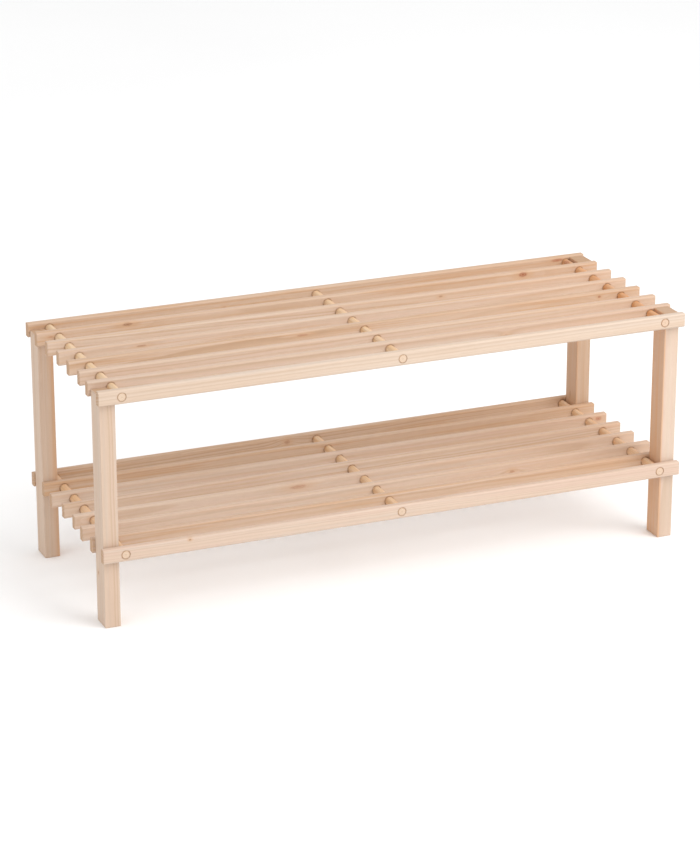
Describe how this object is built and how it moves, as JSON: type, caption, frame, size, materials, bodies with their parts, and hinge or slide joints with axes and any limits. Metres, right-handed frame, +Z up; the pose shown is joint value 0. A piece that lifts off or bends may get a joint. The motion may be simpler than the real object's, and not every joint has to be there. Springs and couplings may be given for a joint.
{
  "type": "entryway bench",
  "caption": "Low two-tier slatted wooden bench: edge-standing slats threaded on cross dowels, on square legs, with an open shoe shelf below.",
  "frame": {"origin": "on the floor, under the middle of the bench's bounding box", "axes": "+X along the bench's length, -Y out of its front, +Z up"},
  "size_m": [0.74, 0.2754, 0.29],
  "materials": {
    "slat_wood": "unfinished planed softwood with fine straight grain and small knots",
    "leg_wood": "unfinished planed softwood, vertical straight grain",
    "dowel_wood": "unfinished turned dowel, yellower than the slats",
    "screw_steel": "zinc-plated wood screw"
  },
  "bodies": {
    "root": {"upper_slat_1": "slat_wood", "upper_slat_2": "slat_wood", "upper_slat_3": "slat_wood", "upper_slat_4": "slat_wood", "upper_slat_5": "slat_wood", "upper_slat_6": "slat_wood", "upper_slat_7": "slat_wood", "upper_slat_8": "slat_wood", "lower_slat_1": "slat_wood", "lower_slat_2": "slat_wood", "lower_slat_3": "slat_wood", "lower_slat_4": "slat_wood", "lower_slat_5": "slat_wood", "lower_slat_6": "slat_wood", "lower_slat_7": "slat_wood", "lower_slat_8": "slat_wood", "upper_dowel_left": "dowel_wood", "upper_dowel_middle": "dowel_wood", "upper_dowel_right": "dowel_wood", "lower_dowel_left": "dowel_wood", "lower_dowel_middle": "dowel_wood", "lower_dowel_right": "dowel_wood", "leg_front_left": "leg_wood", "leg_front_right": "leg_wood", "leg_back_left": "leg_wood", "leg_back_right": "leg_wood", "upper_screws": "screw_steel", "lower_screws": "screw_steel"}
  },
  "joints": []
}
